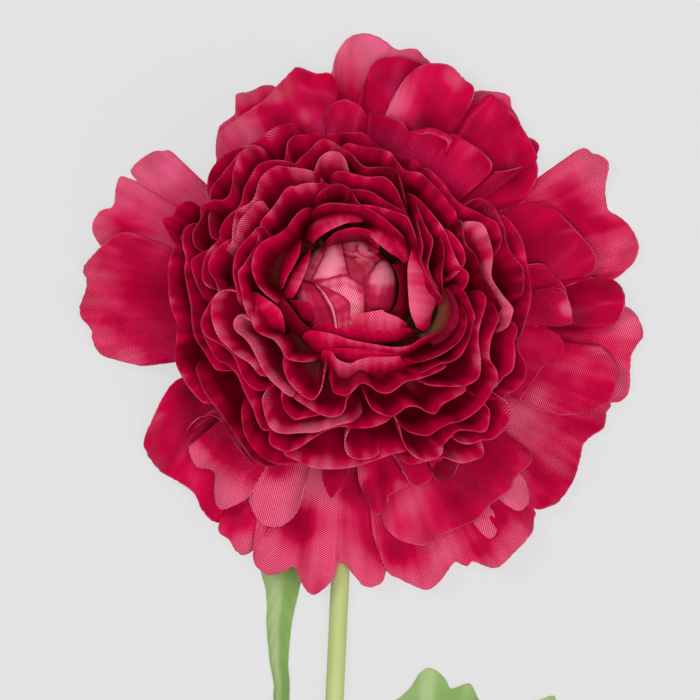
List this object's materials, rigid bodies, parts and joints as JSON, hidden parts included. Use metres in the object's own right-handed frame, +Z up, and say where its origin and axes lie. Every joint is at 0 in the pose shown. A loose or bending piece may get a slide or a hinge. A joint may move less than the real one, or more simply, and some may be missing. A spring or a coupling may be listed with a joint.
{
  "type": "fabric persian buttercup flower",
  "caption": "Single fabric Persian buttercup laid face up: ruffled crimson ball of frills, wide petal skirt, bent plastic stem with lobed leaves.",
  "frame": {"origin": "middle of the flower's box, at its underside, on the table", "axes": "+Z up out of the bloom, +Y from the cut end of the stem towards the head, +X to the right"},
  "size_m": [0.1126, 0.2514, 0.049],
  "materials": {
    "petal_cloth": "stiffened twill satin, crimson, soft sheen",
    "back_petal_cloth": "stiffened twill satin, paler rose at the back and the edges",
    "bud_cloth": "stiffened twill satin, rose, closed round the core",
    "bud_core_plastic": "moulded, dull green",
    "calyx_plastic": "moulded, green",
    "stem_plastic": "smooth moulded tube, pale yellow-green",
    "stalk_plastic": "smooth, light green",
    "wire_steel": "plain drawn wire",
    "leaf_cloth": "coated cloth, soft green with pale veins"
  },
  "bodies": {
    "root": {"frill_layer_01": "petal_cloth", "frill_layer_02": "petal_cloth", "frill_layer_03": "petal_cloth", "frill_layer_04": "petal_cloth", "frill_layer_05": "petal_cloth", "frill_layer_06": "petal_cloth", "frill_layer_07": "petal_cloth", "frill_layer_08": "petal_cloth", "frill_layer_09": "petal_cloth", "bud_petal_1": "bud_cloth", "bud_petal_2": "bud_cloth", "bud_petal_3": "bud_cloth", "bud_petal_4": "bud_cloth", "bud_petal_5": "bud_cloth", "bud_core": "bud_core_plastic", "calyx": "calyx_plastic", "head_pin": "calyx_plastic", "outer_petal_01": "back_petal_cloth", "outer_petal_02": "back_petal_cloth", "outer_petal_03": "back_petal_cloth", "outer_petal_04": "back_petal_cloth", "outer_petal_05": "back_petal_cloth", "outer_petal_06": "back_petal_cloth", "outer_petal_07": "back_petal_cloth", "outer_petal_08": "back_petal_cloth", "outer_petal_09": "back_petal_cloth", "outer_petal_10": "back_petal_cloth", "outer_petal_11": "back_petal_cloth", "outer_petal_12": "petal_cloth", "outer_petal_13": "petal_cloth", "outer_petal_14": "petal_cloth", "outer_petal_15": "petal_cloth", "outer_petal_16": "petal_cloth", "outer_petal_17": "petal_cloth", "outer_petal_18": "petal_cloth", "outer_petal_19": "petal_cloth", "outer_petal_20": "petal_cloth", "outer_petal_21": "petal_cloth", "outer_petal_22": "petal_cloth", "outer_petal_23": "petal_cloth", "outer_petal_24": "petal_cloth", "outer_petal_25": "petal_cloth", "outer_petal_26": "petal_cloth", "outer_petal_27": "petal_cloth", "stem": "stem_plastic", "stem_wire": "wire_steel", "leaf_collar": "stem_plastic", "leaf_left": "leaf_cloth", "leaf_left_stalk": "stalk_plastic", "leaf_right": "leaf_cloth", "leaf_right_stalk": "stalk_plastic"}
  },
  "joints": []
}
